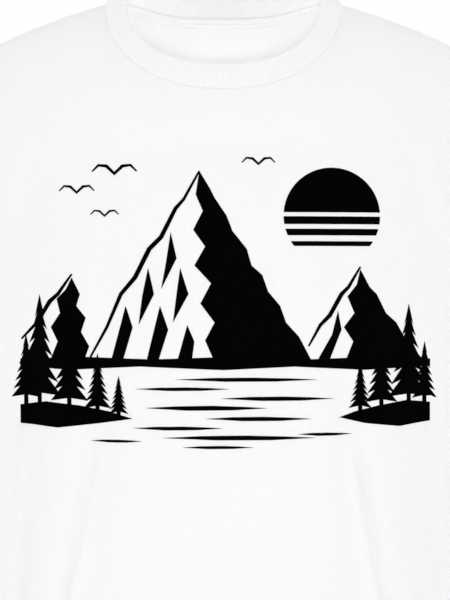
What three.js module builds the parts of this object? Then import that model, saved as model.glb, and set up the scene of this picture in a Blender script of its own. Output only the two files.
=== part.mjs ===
// A crew-neck T-shirt in the shape that it has when it is worn, as sewn pieces of jersey and rib.
// Millimetres, +Z up, +Y towards the wearer's back, +X towards the wearer's left. The origin lies
// between the two neck points, where the shoulder seams meet the neck seam and the shirt hangs.
import * as THREE from "three";

// Cloth thicknesses and the gap kept between two pieces that are sewn together
const JERSEY = 1.0;
const RIB_CLOTH = 2.4;
const SEAM_GAP = 0.3;

// Driving dimensions of the cut, as it hangs on its wearer
const NECK_HALF = 103; // centre to the neck point
const SHOULDER_HALF = 232; // centre to the top of the armhole seam
const SHOULDER_SLOPE = 0.29; // fall of the shoulder line beside the neck
const SHOULDER_CURL = 0.00095; // how much steeper it gets towards the arm, per millimetre
const UNDERARM_Z = -245;
const HEM_Z = -712;
const BACK_HEM_DROP = 8; // the hem hangs lower behind
const SQUARENESS = 2.25; // exponent of the body's section: 2 is an ellipse
const UPPER_SPREAD = 46; // how much wider the chest's section grows towards the shoulders
const NECK_SQUARENESS = 2.15; // exponent of the neck seam's outline
const NECK_BLEND = 8; // the higher, the closer to the neck seam the panels turn to meet it
const RIB_HEIGHT = 22.5;
const HEM_FOLD = 22; // depth of the turned-up hems
const SHOULDER_ANGLE = 24; // degrees below level at the top of the armhole seam
const SLEEVE_ANGLE = 53; // degrees below level at the top of the sleeve's hem
const UNDERARM_ANGLE = 26; // degrees below level where the sleeve's underside starts
const UNDER_HEM_ANGLE = 36; // degrees below level where it ends at the hem
const SLEEVE_TOP = 215; // armhole seam to sleeve hem along the top
const SLEEVE_UNDER = 98; // and along the underside
const OPENING_TILT = 42; // degrees of the sleeve's opening out of upright
const OPENING_TALL = 136;
const OPENING_DEEP = 98;
const BOWED = 0.985; // straight length of the sleeve's bent top, as a share of its length
const TAPE_WIDTH = 8;
const TAPE_GAP = 0.45; // a little more than other seams, as tapes cross the panels' grid lines
const ALLOWANCE = 6; // width of the overlocked edges inside the seams

// Body sections from the underarm down: height, half width, depth in front, depth behind
const SECTIONS = [
  { z: UNDERARM_Z, width: 220, front: 120, back: 106 },
  { z: -350, width: 214, front: 121, back: 97 },
  { z: -480, width: 209, front: 116, back: 88 },
  { z: -600, width: 210, front: 111, back: 90 },
  { z: HEM_Z - BACK_HEM_DROP, width: 215, front: 110, back: 96 },
];

// The two halves of the body. way: side of the shoulder line; full: height at which the depth is
// full; bend and swell: exponents of the curve from the shoulder line out to that depth; lift and
// reach: rise of the shoulder line at the centre of the neck, and how squarely it spreads.
const HALVES = {
  front: { way: -1, full: -205, bend: 1.3, swell: 1.6, lift: -8, reach: 6 },
  back: { way: 1, full: -190, bend: 1.5, swell: 2, lift: 35, reach: 2 },
};

// The neck seam's halves: drop below the neck points and depth at the centre, how full the seam is
// seen from the side, and its rise in between. The armhole's: half widths of its curve, low and high.
Object.assign(HALVES.front, { neckDrop: 76, neckDeep: 73, neckBow: 0.75, neckArch: 0 });
Object.assign(HALVES.back, { neckDrop: 6, neckDeep: 58, neckBow: 0.9, neckArch: 43 });
Object.assign(HALVES.front, { armIn: 192, armUp: 201 });
Object.assign(HALVES.back, { armIn: 198, armUp: 209 });

// Drape folds, which stand out of the body. Angles run from the centre front, positive to +X: at the
// height where the fold starts and at the hem. Then that height, the half width in degrees and the
// depth at the hem.
const FOLDS = [
  { from: 29, to: 58, start: -275, half: 11, deep: 13 },
  { from: -30, to: -59, start: -270, half: 11, deep: 13 },
  { from: 46, to: 78, start: -262, half: 11, deep: 12 },
  { from: -47, to: -79, start: -266, half: 11, deep: 11 },
  { from: 4, to: 9, start: -420, half: 20, deep: 5 },
  { from: 96, to: 98, start: -290, half: 11, deep: 11 },
  { from: -97, to: -100, start: -300, half: 11, deep: 11 },
  { from: 124, to: 119, start: -270, half: 11, deep: 12 },
  { from: -123, to: -121, start: -280, half: 11, deep: 13 },
  { from: 150, to: 141, start: -220, half: 12, deep: 14 },
  { from: -149, to: -143, start: -230, half: 12, deep: 13 },
  { from: 172, to: 166, start: -330, half: 12, deep: 9 },
  { from: -173, to: -168, start: -310, half: 12, deep: 10 },
];

// Grid of the panels: columns across half the neckline and half the shoulder, rows below and above
// the underarm, and how far the upper rows crowd towards the shoulder line
const NECK_COLUMNS = 9;
const SHOULDER_COLUMNS = 11;
const LOWER_ROWS = 12;
const UPPER_ROWS = 12;
const CROWDING = 1.7;
const SLEEVE_ROWS = 9;
const NECK_SHARE = NECK_COLUMNS / (NECK_COLUMNS + SHOULDER_COLUMNS);
const TINY = 1e-6;

const degrees = (angle) => THREE.MathUtils.degToRad(angle);
const smooth = (x) => THREE.MathUtils.smoothstep(x, 0, 1);
const power = (x, exponent) => Math.sign(x) * Math.abs(x) ** exponent;
const steps = (count, value) => Array.from({ length: count + 1 }, (_, i) => value(i / count));

// A value of the section table at a height, by a cubic through its rows
function sectionValue(z, key) {
  const rows = SECTIONS;
  let i = 0;
  while (i < rows.length - 2 && z < rows[i + 1].z) i++;
  const slope = (k) => {
    const [a, b] = [rows[Math.max(k - 1, 0)], rows[Math.min(k + 1, rows.length - 1)]];
    return (b[key] - a[key]) / (b.z - a.z);
  };
  const [a, b] = [rows[i], rows[i + 1]];
  const span = b.z - a.z;
  const t = THREE.MathUtils.clamp((z - a.z) / span, 0, 1);
  const t2 = t * t;
  const t3 = t2 * t;
  return (
    a[key] * (2 * t3 - 3 * t2 + 1) +
    b[key] * (3 * t2 - 2 * t3) +
    span * (slope(i) * (t3 - 2 * t2 + t) + slope(i + 1) * (t3 - t2))
  );
}

// How far the folds stand out at an angle in degrees and a height
function foldOut(angle, z) {
  let out = 0;
  for (const fold of FOLDS) {
    const down = (fold.start - z) / (fold.start - HEM_Z);
    if (down <= 0) continue;
    const centre = THREE.MathUtils.lerp(fold.from, fold.to, down);
    const away = Math.abs(((angle - centre + 540) % 360) - 180) / fold.half;
    if (away < 1) out += fold.deep * smooth(down) * Math.cos((away * Math.PI) / 2) ** 2;
  }
  return out;
}

// Height of the line over the shoulders, which levels off and is only imagined across the neck
function ridge(x, half) {
  const out = Math.abs(x) - NECK_HALF;
  const along = out > 0 ? out : 30 * (Math.exp(out / 30) - 1);
  const centred = Math.max(0, 1 - Math.abs(x / NECK_HALF) ** half.reach) ** 1.5;
  return half.lift * centred - SHOULDER_SLOPE * along - SHOULDER_CURL * Math.max(out, 0) ** 2;
}

const shoulderTip = ridge(SHOULDER_HALF, HALVES.front);

// A point of the body above the underarm, from its place in the front view
function upperPoint(half, x, z) {
  const top = ridge(x, half);
  const down = THREE.MathUtils.clamp((top - z) / (top - half.full), 0, 1);
  const rise = (z - UNDERARM_Z) / (shoulderTip - UNDERARM_Z);
  const width = SECTIONS[0].width + UPPER_SPREAD * smooth(rise);
  const across = Math.max(0, 1 - Math.abs(x / width) ** SQUARENESS) ** (1 / SQUARENESS);
  const over = (1 - (1 - down) ** half.bend) ** (1 / half.swell);
  const depth = sectionValue(UNDERARM_Z, half.way < 0 ? "front" : "back");
  return new THREE.Vector3(x, half.way * (depth * across * over + SEAM_GAP / 2), z);
}

// A point of the body below the underarm, u from -1 at one side seam to 1 at the other
function lowerPoint(half, u, share) {
  const angle = (u * Math.PI) / 2;
  const around = half.way < 0 ? u * 90 : 180 - u * 90;
  const hem = HEM_Z - (BACK_HEM_DROP * (1 - Math.cos(degrees(around)))) / 2;
  const z = THREE.MathUtils.lerp(UNDERARM_Z, hem, share);
  const [width, depth] = [sectionValue(z, "width"), sectionValue(z, half.way < 0 ? "front" : "back")];
  const x = width * power(Math.sin(angle), 2 / SQUARENESS);
  const y = half.way * depth * power(Math.cos(angle), 2 / SQUARENESS);
  const outward = new THREE.Vector2(x / width ** 2, y / depth ** 2).normalize();
  const fold = foldOut(around, z);
  return new THREE.Vector3(x + outward.x * fold, y + outward.y * fold + (half.way * SEAM_GAP) / 2, z);
}

// The armhole seam in the front view, from the underarm at 0 to the shoulder at 1
function armholeCurve(half) {
  return new THREE.CubicBezierCurve(
    new THREE.Vector2(SECTIONS[0].width, UNDERARM_Z),
    new THREE.Vector2(half.armIn, THREE.MathUtils.lerp(UNDERARM_Z, shoulderTip, 0.12)),
    new THREE.Vector2(half.armUp, THREE.MathUtils.lerp(UNDERARM_Z, shoulderTip, 0.62)),
    new THREE.Vector2(SHOULDER_HALF, shoulderTip),
  );
}

// The neck seam of a body panel, u from the centre to the neck point
function neckSeam(half, u) {
  const angle = (u / NECK_SHARE) * (Math.PI / 2);
  const across = Math.sin(angle) ** (2 / NECK_SQUARENESS);
  const down = Math.max(Math.cos(angle), 0) ** (2 / NECK_SQUARENESS);
  const z = half.neckArch * across ** 4 * (1 - across ** 2) - half.neckDrop * down;
  const y = half.way * (half.neckDeep * down ** half.neckBow + SEAM_GAP / 2);
  return new THREE.Vector3(NECK_HALF * across, y, z);
}

// The top edge of a body panel in the front view, from the centre over the neck point to the shoulder
function topEdge(half, u) {
  if (u <= NECK_SHARE) {
    const { x, z } = neckSeam(half, u);
    return new THREE.Vector2(x, z);
  }
  const x = THREE.MathUtils.mapLinear(u, NECK_SHARE, 1, NECK_HALF, SHOULDER_HALF);
  return new THREE.Vector2(x, ridge(x, half));
}

// The upper body's place in the front view, blended between its four edges
function upperPlace(half, u, v) {
  const side = Math.abs(u);
  const bottom = (s) => {
    const x = SECTIONS[0].width * power(Math.sin((s * Math.PI) / 2), 2 / SQUARENESS);
    return new THREE.Vector2(x, UNDERARM_Z);
  };
  const [left, right] = [
    new THREE.Vector2(0, THREE.MathUtils.lerp(UNDERARM_Z, -half.neckDrop, v)),
    armholeCurve(half).getPoint(v),
  ];
  const mix = (a, b, t) => new THREE.Vector2().lerpVectors(a, b, t);
  const place = mix(bottom(side), topEdge(half, side), v).add(mix(left, right, side));
  const corners = mix(mix(bottom(0), bottom(1), side), mix(topEdge(half, 0), topEdge(half, 1), side), v);
  place.sub(corners);
  place.x *= Math.sign(u);
  return place;
}

// A point of a body panel: v runs from the hem at -1 over the underarm at 0 to the top edge at 1
function bodyPoint(half, u, v) {
  if (v < 0) return lowerPoint(half, u, -v);
  const place = upperPlace(half, u, v);
  const point = upperPoint(half, place.x, place.y);
  if (Math.abs(u) < NECK_SHARE) {
    const seam = neckSeam(half, Math.abs(u));
    point.y += (seam.y - upperPoint(half, seam.x, seam.z).y) * v ** NECK_BLEND;
  }
  return point;
}

// The unit vector into the shirt from a body panel, by small steps to both sides of a place
function bodyInward(half, u, v) {
  const step = 1e-3;
  const [a, b] = [u, v].map((place) => THREE.MathUtils.clamp(place, step - 1, 1 - step));
  const alongU = bodyPoint(half, a + step, b).sub(bodyPoint(half, a - step, b));
  const alongV = bodyPoint(half, a, b + step).sub(bodyPoint(half, a, b - step));
  return alongU.cross(alongV).normalize().multiplyScalar(half.way);
}

// The direction of the cloth's thickness at the armhole seam: towards a point inside the arm's way
function armholeInward(point) {
  const inside = new THREE.Vector3(Math.sign(point.x) * 160, 0, -158);
  return inside.sub(point).normalize();
}

// The rib's rise from the neck seam: mostly upright in front and behind, leaning in at the sides
function ribRise(point) {
  const reach = point.y < 0 ? 75 : 60;
  const inward = new THREE.Vector3(-point.x / NECK_HALF ** 2, -point.y / reach ** 2, 0).normalize();
  const elevation = degrees(THREE.MathUtils.lerp(point.y < 0 ? 69 : 76, 42, inward.x ** 2));
  return inward.multiplyScalar(Math.cos(elevation)).setZ(Math.sin(elevation));
}

// The direction of the cloth's thickness at the neck seam, square to the rib's rise
function neckInward(point) {
  const rise = ribRise(point);
  const level = new THREE.Vector3(rise.x, rise.y, 0).normalize();
  return level.multiplyScalar(rise.z).setZ(-Math.hypot(rise.x, rise.y));
}

// Where a body panel's cloth lies and which way its thickness goes. Along the shoulder and side
// seams, where the panels meet, it keeps to the seam's plane.
function bodyCloth(half, u, v) {
  const point = bodyPoint(half, u, v);
  const onSide = Math.abs(u) === 1;
  if (onSide && v >= 0) return { point, inward: armholeInward(point) };
  if (v === 1 && Math.abs(u) <= NECK_SHARE + TINY) return { point, inward: neckInward(point) };
  const inward = bodyInward(half, u, v);
  if (onSide || v === 1) inward.setY(0).normalize();
  return { point, inward };
}

// A closed solid of cloth from rows of {point, inward}, lying between two depths below the surface.
// A round one joins each row's end to its start.
function clothSolid(rows, from, to, round = false) {
  const [high, wide] = [rows.length, rows[0].length];
  const positions = [];
  for (const depth of [from, to]) {
    for (const row of rows) {
      for (const { point, inward } of row) {
        positions.push(...point.clone().addScaledVector(inward, depth).toArray());
      }
    }
  }
  const index = [];
  const at = (layer, row, column) => layer * high * wide + row * wide + (column % wide);
  const quad = (a, b, c, d) => index.push(a, b, c, a, c, d);
  const columns = round ? wide : wide - 1;
  for (let r = 0; r < high - 1; r++) {
    for (let c = 0; c < columns; c++) {
      quad(at(0, r, c), at(0, r, c + 1), at(0, r + 1, c + 1), at(0, r + 1, c));
      quad(at(1, r, c), at(1, r + 1, c), at(1, r + 1, c + 1), at(1, r, c + 1));
    }
  }
  for (let c = 0; c < columns; c++) {
    quad(at(1, 0, c), at(1, 0, c + 1), at(0, 0, c + 1), at(0, 0, c));
    quad(at(0, high - 1, c), at(0, high - 1, c + 1), at(1, high - 1, c + 1), at(1, high - 1, c));
  }
  for (let r = 0; r < high - 1 && !round; r++) {
    quad(at(0, r, 0), at(0, r + 1, 0), at(1, r + 1, 0), at(1, r, 0));
    quad(at(1, r, wide - 1), at(1, r + 1, wide - 1), at(0, r + 1, wide - 1), at(0, r, wide - 1));
  }
  return closedGeometry(positions, index);
}

// A geometry whose faces point out, whichever way its rows ran
function closedGeometry(positions, index) {
  const corner = (i) => new THREE.Vector3().fromArray(positions, 3 * index[i]);
  let volume = 0;
  for (let i = 0; i < index.length; i += 3) volume += corner(i).cross(corner(i + 1)).dot(corner(i + 2));
  const geometry = new THREE.BufferGeometry();
  geometry.setAttribute("position", new THREE.Float32BufferAttribute(positions, 3));
  geometry.setIndex(volume < 0 ? index.slice().reverse() : index);
  geometry.computeVertexNormals();
  return geometry;
}

const shirt = new THREE.Group();
const finishes = {
  jersey: { color: 0xf4f4f3, roughness: 0.92, metalness: 0 },
  rib: { color: 0xf3f3f2, roughness: 0.94, metalness: 0 },
  tape: { color: 0xf6f6f5, roughness: 0.9, metalness: 0 },
};

function addPiece(name, finish, geometry) {
  const mesh = new THREE.Mesh(geometry, new THREE.MeshStandardMaterial(finishes[finish]));
  mesh.name = name;
  shirt.add(mesh);
}

// The grid's columns and rows. The lowest two rows are the depth of the turned-up hem.
const columnsAcross = steps(2 * (NECK_COLUMNS + SHOULDER_COLUMNS), (t) => 2 * t - 1);
const hemShare = HEM_FOLD / (UNDERARM_Z - HEM_Z);
const lowerRows = [-1, -1 + hemShare / 2, ...steps(LOWER_ROWS, (t) => (hemShare - 1) * (1 - t))];
const upperRows = steps(UPPER_ROWS, (t) => 1 - (1 - t) ** CROWDING);
const panelRows = [...lowerRows.slice(0, -1), ...upperRows];
const [LINING_TOP, LINING_UNDER] = [JERSEY + SEAM_GAP, 2 * JERSEY + SEAM_GAP];

// The front and back panels, cut to the neck, the shoulder seams, the armholes and the side seams,
// each with the turned-up cloth inside its bottom hem
function addBodyPanels() {
  for (const [name, half] of Object.entries(HALVES)) {
    half.rows = panelRows.map((v) => columnsAcross.map((u) => bodyCloth(half, u, v)));
    addPiece(`${name}_panel`, "jersey", clothSolid(half.rows, 0, JERSEY));
    addPiece(`${name}_hem`, "jersey", clothSolid(half.rows.slice(0, 3), LINING_TOP, LINING_UNDER));
  }
}

// Cloth at a share of the way from one place of a grid to another
const between = (a, b, share) => ({
  point: a.point.clone().lerp(b.point, share),
  inward: a.inward.clone().lerp(b.inward, share).normalize(),
});

// A strip of two or more grid lines that starts a little way in from a seam and has a set width.
// lines runs away from the seam, each line along it.
function stripRows(lines, start, width) {
  return [start, start + width / 2, start + width].map((distance) =>
    lines[0].map((first, i) => {
      let left = distance;
      let from = first;
      for (const line of lines.slice(1)) {
        const length = from.point.distanceTo(line[i].point);
        if (left <= length) return between(from, line[i], left / length);
        left -= length;
        from = line[i];
      }
      return from;
    }),
  );
}

// A tape or an overlocked edge, flat on the inside of the cloth that it is sewn to
function tapeSolid(rows, round = false) {
  return clothSolid(rows, JERSEY + TAPE_GAP, 2 * JERSEY + TAPE_GAP, round);
}

// The armhole seam all round, from the shoulder down the front and up the back
function armholeLoop(sideways) {
  const down = [...upperRows].reverse();
  return [
    ...down.map((v) => bodyPoint(HALVES.front, sideways, v)),
    ...upperRows.slice(1, -1).map((v) => bodyPoint(HALVES.back, sideways, v)),
  ].map((point, i) => {
    const shared = i === 0 || i === UPPER_ROWS;
    return shared ? point.setY(0) : point;
  });
}

// A sleeve's surface: rows from the armhole seam to the hem, bent from the shoulder's slope to the arm's
function sleeveRows(sideways, rowShares) {
  const loop = armholeLoop(sideways);
  const direction = (angle) => {
    return new THREE.Vector3(sideways * Math.cos(degrees(angle)), 0, -Math.sin(degrees(angle)));
  };
  const across = direction(OPENING_TILT - 90);
  const middle = loop[0]
    .clone()
    .addScaledVector(direction((SLEEVE_ANGLE + SHOULDER_ANGLE) / 2), SLEEVE_TOP * BOWED)
    .addScaledVector(across, -OPENING_TALL / 2);
  const around = loop.map((point, i) => {
    const turn = (i / loop.length) * 2 * Math.PI;
    const end = middle.clone().addScaledVector(across, (OPENING_TALL / 2) * Math.cos(turn));
    end.y = (-OPENING_DEEP / 2) * Math.sin(turn);
    const under = (1 - Math.cos(turn)) / 2;
    const reach = THREE.MathUtils.lerp(SLEEVE_TOP, SLEEVE_UNDER, under);
    const start = direction(THREE.MathUtils.lerp(SHOULDER_ANGLE, UNDERARM_ANGLE, under));
    const gapped = point.clone().addScaledVector(start, SEAM_GAP);
    const finish = direction(THREE.MathUtils.lerp(SLEEVE_ANGLE, UNDER_HEM_ANGLE, under));
    finish.multiplyScalar(reach);
    return { point: gapped, end, start: start.multiplyScalar(reach), finish };
  });
  const hermite = (edge, t) => {
    const [t2, t3] = [t * t, t * t * t];
    return edge.point
      .clone()
      .multiplyScalar(2 * t3 - 3 * t2 + 1)
      .addScaledVector(edge.end, 3 * t2 - 2 * t3)
      .addScaledVector(edge.start, t3 - 2 * t2 + t)
      .addScaledVector(edge.finish, t3 - t2);
  };
  return rowShares.map((share) => {
    const ring = around.map((edge) => hermite(edge, share));
    const centre = ring.reduce((sum, point) => sum.add(point), new THREE.Vector3()).divideScalar(ring.length);
    return ring.map((point, i) => {
      if (share === 0) return { point, inward: armholeInward(point) };
      const before = ring[(i + ring.length - 1) % ring.length];
      const after = ring[(i + 1) % ring.length];
      const along = hermite(around[i], Math.min(share + 0.01, 1)).sub(hermite(around[i], share - 0.01));
      const inward = after.clone().sub(before).cross(along).normalize();
      const towards = centre.clone().sub(point);
      return { point, inward: inward.dot(towards) < 0 ? inward.negate() : inward };
    });
  });
}

function addSleeves() {
  const foldShare = HEM_FOLD / SLEEVE_TOP;
  const shares = [...steps(SLEEVE_ROWS, (t) => t * (1 - foldShare)), 1 - foldShare / 2, 1];
  for (const [side, sideways] of [["left", 1], ["right", -1]]) {
    const rows = sleeveRows(sideways, shares);
    addPiece(`sleeve_${side}`, "jersey", clothSolid(rows, 0, JERSEY, true));
    addPiece(`sleeve_hem_${side}`, "jersey", clothSolid(rows.slice(-3), LINING_TOP, LINING_UNDER, true));
    const seam = stripRows(rows.slice(0, 2), 2, ALLOWANCE);
    addPiece(`armhole_seam_${side}`, "tape", tapeSolid(seam, true));
  }
}

// The neck seam all round, from one neck point over the front to the other and back behind
function neckLoop() {
  const across = columnsAcross.filter((u) => Math.abs(u) <= NECK_SHARE + TINY);
  const ends = [0, across.length - 1];
  return [
    ...across.map((u, i) => {
      const point = bodyPoint(HALVES.front, u, 1);
      return ends.includes(i) ? point.setY(0) : point;
    }),
    ...across.slice(1, -1).reverse().map((u) => bodyPoint(HALVES.back, u, 1)),
  ];
}

// The rib collar: a folded band that stands on the neck seam, closed at the top by a rounded fold
function addRib() {
  const half = RIB_CLOTH / 2;
  const outside = 0.7; // how far the rib stands proud of the jersey
  const profile = [
    [SEAM_GAP, 0],
    [SEAM_GAP + 1, -half + 0.2],
    [RIB_HEIGHT / 2, -half],
    [RIB_HEIGHT - half, -half],
    [RIB_HEIGHT - 0.35 * half, -0.7 * half],
    [RIB_HEIGHT, 0],
    [RIB_HEIGHT - 0.35 * half, 0.7 * half],
    [RIB_HEIGHT - half, half],
    [RIB_HEIGHT / 2, half],
    [SEAM_GAP + 1, half - 0.2],
  ];
  const loop = neckLoop();
  const positions = [];
  for (const point of loop) {
    const [rise, inward] = [ribRise(point), neckInward(point)];
    for (const [up, deep] of profile) {
      const place = point.clone().addScaledVector(rise, up).addScaledVector(inward, half - outside + deep);
      positions.push(...place.toArray());
    }
  }
  const index = [];
  const at = (i, k) => (i % loop.length) * profile.length + (k % profile.length);
  for (let i = 0; i < loop.length; i++) {
    for (let k = 0; k < profile.length; k++) {
      index.push(at(i, k), at(i + 1, k), at(i + 1, k + 1), at(i, k), at(i + 1, k + 1), at(i, k + 1));
    }
  }
  addPiece("neck_rib", "rib", closedGeometry(positions, index));
}

// The tape over the back neck seam, and the overlocked edges inside the shoulder and side seams
function addInsideSeams() {
  const topLines = HALVES.back.rows.slice(-4).reverse();
  const topStrip = (keep, start, width) => {
    const lines = topLines.map((line) => line.filter((_, i) => keep(columnsAcross[i])));
    return tapeSolid(stripRows(lines, start, width));
  };
  addPiece("neck_tape", "tape", topStrip((u) => Math.abs(u) < NECK_SHARE - TINY, 1.5, TAPE_WIDTH));
  const { rows } = HALVES.back;
  const overHem = rows[2].map((place, i) => between(place, rows[3][i], 0.04));
  const sideLines = [overHem, ...rows.slice(3, lowerRows.length - 1)];
  for (const [side, sideways] of [["left", 1], ["right", -1]]) {
    const onShoulder = (u) => u * sideways > NECK_SHARE + TINY && u * sideways < 1 - TINY;
    addPiece(`shoulder_seam_${side}`, "tape", topStrip(onShoulder, 2, ALLOWANCE));
    const lines = [0, 1, 2].map((k) => sideLines.map((row) => row.at(sideways > 0 ? -1 - k : k)));
    addPiece(`side_seam_${side}`, "tape", tapeSolid(stripRows(lines, 2, ALLOWANCE)));
  }
}

addBodyPanels();
addSleeves();
addRib();
addInsideSeams();

export default shirt;
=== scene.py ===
# %% [markdown]
# # A crew-neck T-shirt, as worn
# A T-shirt is cut from knitted cotton as a front, a back and two sleeves, sewn together, with a band of
# rib knit for a collar. It could be made as one smooth shell, but its seams, hems and folds are what
# the eye knows it by. So one welded sheet is draped by a cloth simulation first, and is then taken
# apart along its seams, and every piece gets its own edge, thickness and finish.

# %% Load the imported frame
import math

import bmesh
import bpy
from mathutils import Matrix, Vector, noise
from mathutils.bvhtree import BVHTree


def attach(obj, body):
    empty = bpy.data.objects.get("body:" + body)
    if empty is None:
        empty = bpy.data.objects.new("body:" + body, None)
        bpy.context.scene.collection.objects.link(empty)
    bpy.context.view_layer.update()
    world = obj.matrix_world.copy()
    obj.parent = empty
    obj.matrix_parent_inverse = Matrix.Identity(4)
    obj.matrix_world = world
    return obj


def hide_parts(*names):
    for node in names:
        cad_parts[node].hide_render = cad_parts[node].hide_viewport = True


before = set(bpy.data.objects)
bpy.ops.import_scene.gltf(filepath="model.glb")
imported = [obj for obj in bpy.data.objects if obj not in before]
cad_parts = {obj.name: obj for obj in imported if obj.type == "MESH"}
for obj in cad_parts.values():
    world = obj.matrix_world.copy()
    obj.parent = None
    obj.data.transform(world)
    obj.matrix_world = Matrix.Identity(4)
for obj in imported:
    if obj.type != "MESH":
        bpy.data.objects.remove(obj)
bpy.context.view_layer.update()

print("nodes:", ", ".join(sorted(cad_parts)))

# %% [markdown]
# ## Camera, floor and light
# Shirts are photographed level with the chest, from a few metres away and with a long lens, so that
# nothing looks wide. A white shirt before a white sky drowns when the sky lights it too. So the room
# here lights the shirt less than it shines to the eye, and softboxes that no camera sees do the rest:
# two at the sides leave shade in the furrows, a narrow one under the camera throws the collar's shadow
# onto the inside of the back, and a weak one in the neck opening shows the tape.

# %% Camera
camera = bpy.data.objects.new("camera", bpy.data.cameras.new("camera"))
bpy.context.collection.objects.link(camera)
camera.location = (0.0017, -2.62, -0.257)
camera.rotation_euler = (math.radians(90), 0, 0)
camera.data.lens = 178.6
bpy.context.scene.camera = camera


# %% Light
def hex_colour(code):
    """An sRGB hex colour as the linear values that shaders take"""
    parts = [int(code[i : i + 2], 16) / 255 for i in (0, 2, 4)]
    return [c / 12.92 if c < 0.04045 else ((c + 0.055) / 1.055) ** 2.4 for c in parts] + [1]


def add_lamp(name, place, target, wide, high, power, spread=120):
    """A softbox, wide and high in metres, that no camera sees. spread is how far its light fans out."""
    lamp = bpy.data.objects.new(name, bpy.data.lights.new(name, "AREA"))
    lamp.data.shape, lamp.data.size, lamp.data.size_y = "RECTANGLE", wide, high
    lamp.data.energy, lamp.data.spread = power, math.radians(spread)
    lamp.location = place
    lamp.rotation_euler = (Vector(target) - Vector(place)).to_track_quat("-Z", "Y").to_euler()
    lamp.visible_camera = False
    bpy.context.collection.objects.link(lamp)


# The room lights the shirt less than it shines to the eye, and fades to the floor's grey at the horizon
ROOM_LIGHT, HORIZON, SKY = 0.63, 0.625, 1.0
world = bpy.data.worlds.new("white room")
world.use_nodes = True
nodes, join = world.node_tree.nodes, world.node_tree.links.new
height = nodes.new("ShaderNodeSeparateXYZ")
join(nodes.new("ShaderNodeTexCoord").outputs["Generated"], height.inputs[0])
fade, seen = nodes.new("ShaderNodeMapRange"), nodes.new("ShaderNodeMapRange")
fade.interpolation_type = "SMOOTHSTEP"
for key, value in (("From Min", -0.01), ("From Max", 0.07), ("To Min", HORIZON), ("To Max", SKY)):
    fade.inputs[key].default_value = value
join(height.outputs["Z"], fade.inputs["Value"])
seen.inputs["To Min"].default_value = ROOM_LIGHT
join(fade.outputs["Result"], seen.inputs["To Max"])
join(nodes.new("ShaderNodeLightPath").outputs["Is Camera Ray"], seen.inputs["Value"])
nodes["Background"].inputs["Color"].default_value = (1, 1, 1, 1)
join(seen.outputs["Result"], nodes["Background"].inputs["Strength"])
bpy.context.scene.world = world
bpy.context.scene.view_settings.view_transform = "Standard"
# Each softbox has its name, its place, how wide and high it is in metres, and its watts
LAMPS = [
    ("left", (-3.2, -1.65, -0.45), 1.6, 1.6, 10.2),
    ("right", (3.2, -1.65, -0.45), 1.6, 1.6, 10.2),
    ("under_the_camera", (0, -2.62, -0.37), 0.5, 0.1, 4.4),
    ("above", (0, -0.5, 2.3), 1.6, 1.2, 5),
    ("behind", (1.6, 3.0, 0.9), 1.5, 1.5, 6),
]
MIDDLE_OF_SHIRT = (0, 0, -0.35)
for name, place, wide, high, power in LAMPS:
    add_lamp(name, place, MIDDLE_OF_SHIRT, wide, high, power)
add_lamp("inside_the_neck", (0, -0.02, -0.17), (0, 0.06, 0), 0.2, 0.14, 0.158, 180)
print("lamps:", len(LAMPS) + 1)


# %% A node helper, and the floor
def add_node(tree, kind, settings=None, links=None):
    """Adds a node. settings fill its properties and inputs, and links feed its inputs."""
    node = tree.nodes.new(kind)
    for key, value in (settings or {}).items():
        if isinstance(key, str) and hasattr(node, key):
            setattr(node, key, value)
        else:
            node.inputs[key].default_value = value
    for key, output in (links or {}).items():
        tree.links.new(output, node.inputs[key])
    return node


def new_material(name, colour, roughness):
    """A material with one Principled shader, and that shader"""
    material = bpy.data.materials.new(name)
    material.use_nodes = True
    shader = material.node_tree.nodes["Principled BSDF"]
    shader.inputs["Base Color"].default_value = hex_colour(colour)
    shader.inputs["Roughness"].default_value = roughness
    return material, shader


# Seen from below the paper is clear, so that it never hides the shirt
FLOOR_RADIUS, FLOOR_Z = 40, -1.45
paper, paper_shader = new_material("paper_roll_floor", "FFFFFF", 0.9)
side = add_node(paper.node_tree, "ShaderNodeNewGeometry").outputs["Backfacing"]
clear = add_node(paper.node_tree, "ShaderNodeBsdfTransparent").outputs[0]
both = {0: side, 1: paper_shader.outputs[0], 2: clear}
mixed = add_node(paper.node_tree, "ShaderNodeMixShader", links=both).outputs[0]
paper.node_tree.links.new(mixed, paper.node_tree.nodes["Material Output"].inputs["Surface"])
floor_mesh = bmesh.new()
bmesh.ops.create_circle(floor_mesh, cap_ends=True, radius=FLOOR_RADIUS, segments=96)
bmesh.ops.translate(floor_mesh, verts=floor_mesh.verts, vec=(0, 0, FLOOR_Z))
floor = bpy.data.objects.new("floor", bpy.data.meshes.new("floor"))
floor_mesh.to_mesh(floor.data)
floor_mesh.free()
floor.data.materials.append(paper)
bpy.context.collection.objects.link(floor)

# %% [markdown]
# ## Cotton finishes
# Bleached cotton jersey sends back nearly all of the light that falls on it, and lets some through. A
# plain white diffuse surface looks like plaster instead, so the knit is drawn as a bump, its fuzz is a
# faint sheen, and light may travel a little way inside the cloth.

# %% Cotton, and the loops of its knit
MM = 0.001


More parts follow.
